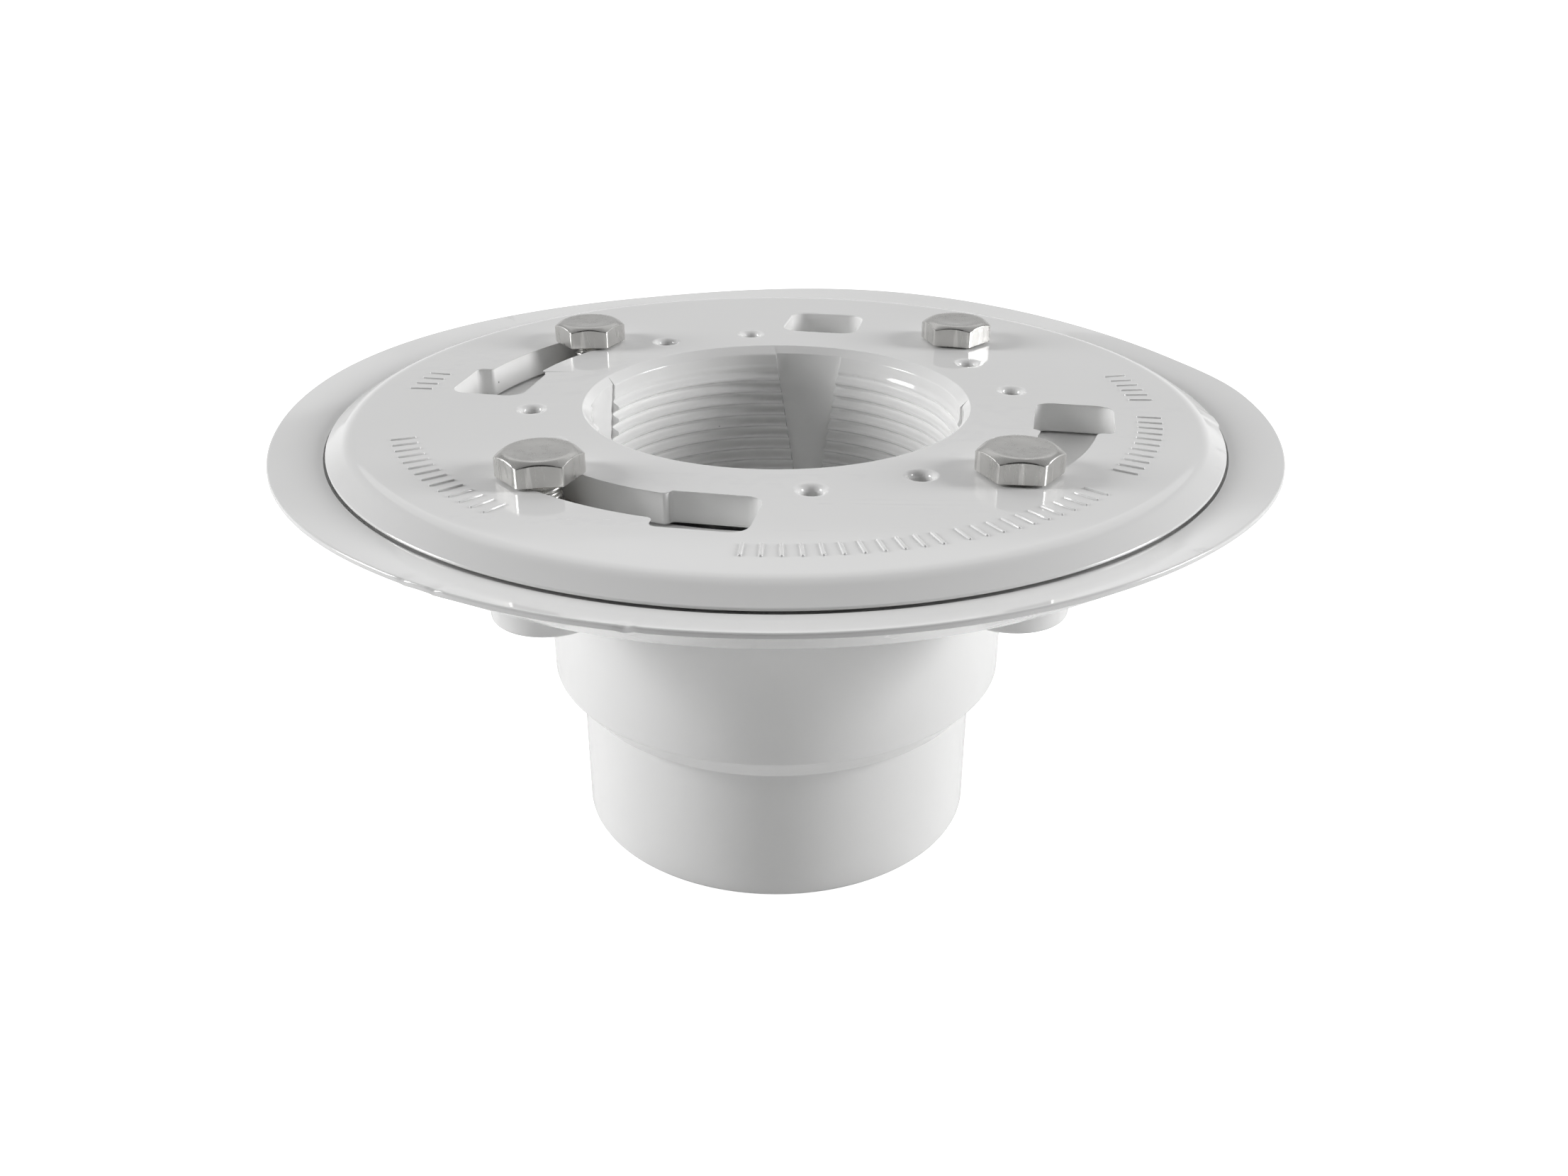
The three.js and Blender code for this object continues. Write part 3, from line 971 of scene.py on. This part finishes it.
def pale_floor():
    """A plain white sweep with painted light: it glows more behind than in front, and glows extra to the
    camera alone so that it shows nearly white.
    """
    nodes = Nodes("pale_floor")
    tint = nodes.mix(nodes.spread(nodes.noise(6.0), 0.3, 0.7, 0.0, 1.0), (0.8, 0.8, 0.8), (0.78, 0.78, 0.78))
    nodes.join(tint, nodes.shader.inputs["Base Color"])
    nodes.shader.inputs["Roughness"].default_value = 0.9
    nodes.shader.inputs["Specular IOR Level"].default_value = 0.1
    nodes.shader.inputs["Emission Color"].default_value = (1.0, 1.0, 1.0, 1.0)
    # Painted light: the floor glows, more behind than in front, and so lights the drain as a lit sweep would.
    split = nodes.add("ShaderNodeSeparateXYZ")
    nodes.join(nodes.place, split.inputs["Vector"])
    glow = nodes.spread(split.outputs["Y"], *FLOOR_GLOW_RAMP, FLOOR_GLOW_FRONT, FLOOR_GLOW_BACK)
    # Painted light: extra glow that only the camera sees, which whitens the floor and the shadows on it.
    seen = nodes.add("ShaderNodeLightPath").outputs["Is Camera Ray"]
    camera_glow = nodes.math("MULTIPLY", seen, FLOOR_CAMERA_GLOW)
    nodes.join(nodes.math("ADD", glow, camera_glow), nodes.shader.inputs["Emission Strength"])
    return nodes.material


# ---- assembly ---------------------------------------------------------------------------------------

def finish_piece(piece, material, body, node):
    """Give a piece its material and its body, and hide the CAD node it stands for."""
    piece.data.materials.clear()
    piece.data.materials.append(material)
    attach(piece, body)
    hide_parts(node)


def build_drain():
    """Every visible piece of the drain."""
    base = build_base()
    base_plastic = white_plastic("white_base", PLASTIC_TONE)
    finish_piece(base, base_plastic, "base", "drain_base")
    ring = build_ring()
    ring_plastic = white_plastic("white_ring", PLASTIC_TONE)
    finish_piece(ring, ring_plastic, "clamping_ring", "clamping_ring")
    steel = zinc_steel()
    metal = turned_brass()
    for side in SIDES:
        bolt, centre = build_bolt(side)
        place_at(bolt, centre)
        finish_piece(bolt, steel, f"bolt_{side}", f"bolt_{side}")
        insert, centre = build_insert(side)
        place_at(insert, centre)
        finish_piece(insert, metal, "base", f"insert_{side}")


# ---- studio -----------------------------------------------------------------------------------------

def build_floor():
    """A wide flat floor under the drain."""
    shell = Shell()
    reach = FLOOR_REACH
    corners = [(-reach, -reach), (reach, -reach), (reach, reach), (-reach, reach)]
    shell.fill(shell.loop([(x, y, 0.0) for x, y in corners]))
    floor = make_object("floor", shell)
    floor.data.materials.append(pale_floor())


def add_panel(name, place, size, power):
    """A rectangular soft light that faces the drain."""
    light = bpy.data.lights.new(name, "AREA")
    light.shape = "RECTANGLE"
    light.size, light.size_y = size
    light.energy = power
    lamp = bpy.data.objects.new(name, light)
    lamp.location = place
    aim = Vector(PANEL_AIM) - Vector(place)
    lamp.rotation_euler = aim.to_track_quat("-Z", "Y").to_euler()
    bpy.context.scene.collection.objects.link(lamp)


def add_ramp(tree, source, low, high, out_low, out_high):
    """A smooth rise from out_low to out_high as the source goes from low to high."""
    ramp = tree.nodes.new("ShaderNodeMapRange")
    ramp.interpolation_type = "SMOOTHSTEP"
    ramp.inputs["From Min"].default_value = low
    ramp.inputs["From Max"].default_value = high
    ramp.inputs["To Min"].default_value = out_low
    ramp.inputs["To Max"].default_value = out_high
    tree.links.new(source, ramp.inputs["Value"])
    return ramp


def build_light():
    """Soft boxes at both sides and high at the back, in a room that is dim in front and bright behind."""
    world = bpy.data.worlds.new("studio")
    bpy.context.scene.world = world
    world.use_nodes = True
    tree = world.node_tree
    background = tree.nodes["Background"]
    place = tree.nodes.new("ShaderNodeTexCoord")
    split = tree.nodes.new("ShaderNodeSeparateXYZ")
    tree.links.new(place.outputs["Generated"], split.inputs["Vector"])
    above = add_ramp(tree, split.outputs["Z"], *HORIZON_RAMP, BACK_GLOW + HORIZON_GLOW, BACK_GLOW)
    front_to_back = add_ramp(tree, split.outputs["Y"], *ROOM_RAMP, FRONT_GLOW, 1.0)
    tree.links.new(above.outputs["Result"], front_to_back.inputs["To Max"])
    tree.links.new(front_to_back.outputs["Result"], background.inputs["Strength"])
    background.inputs["Color"].default_value = (1.0, 1.0, 1.0, 1.0)
    x, y, z = SIDE_PLACE
    add_panel("left_panel", (-x, y, z), SIDE_SIZE, SIDE_POWER)
    add_panel("right_panel", (x, y, z), SIDE_SIZE, SIDE_POWER)
    add_panel("back_panel", BACK_PLACE, BACK_SIZE, BACK_POWER)


def build_camera():
    """A camera a little above the ring, looking down at the drain."""
    data = bpy.data.cameras.new("camera")
    data.sensor_fit = "HORIZONTAL"
    data.sensor_width = SENSOR_WIDTH
    data.lens = LENS
    camera = bpy.data.objects.new("camera", data)
    camera.location = (CAMERA_X, CAMERA_Y, RING_TOP * MM + CAMERA_ABOVE_RING)
    camera.rotation_euler = [math.radians(turn) for turn in CAMERA_TURN]
    bpy.context.scene.collection.objects.link(camera)
    bpy.context.scene.camera = camera


build_drain()
build_floor()
build_light()
build_camera()
bpy.context.scene.view_settings.view_transform = "Standard"
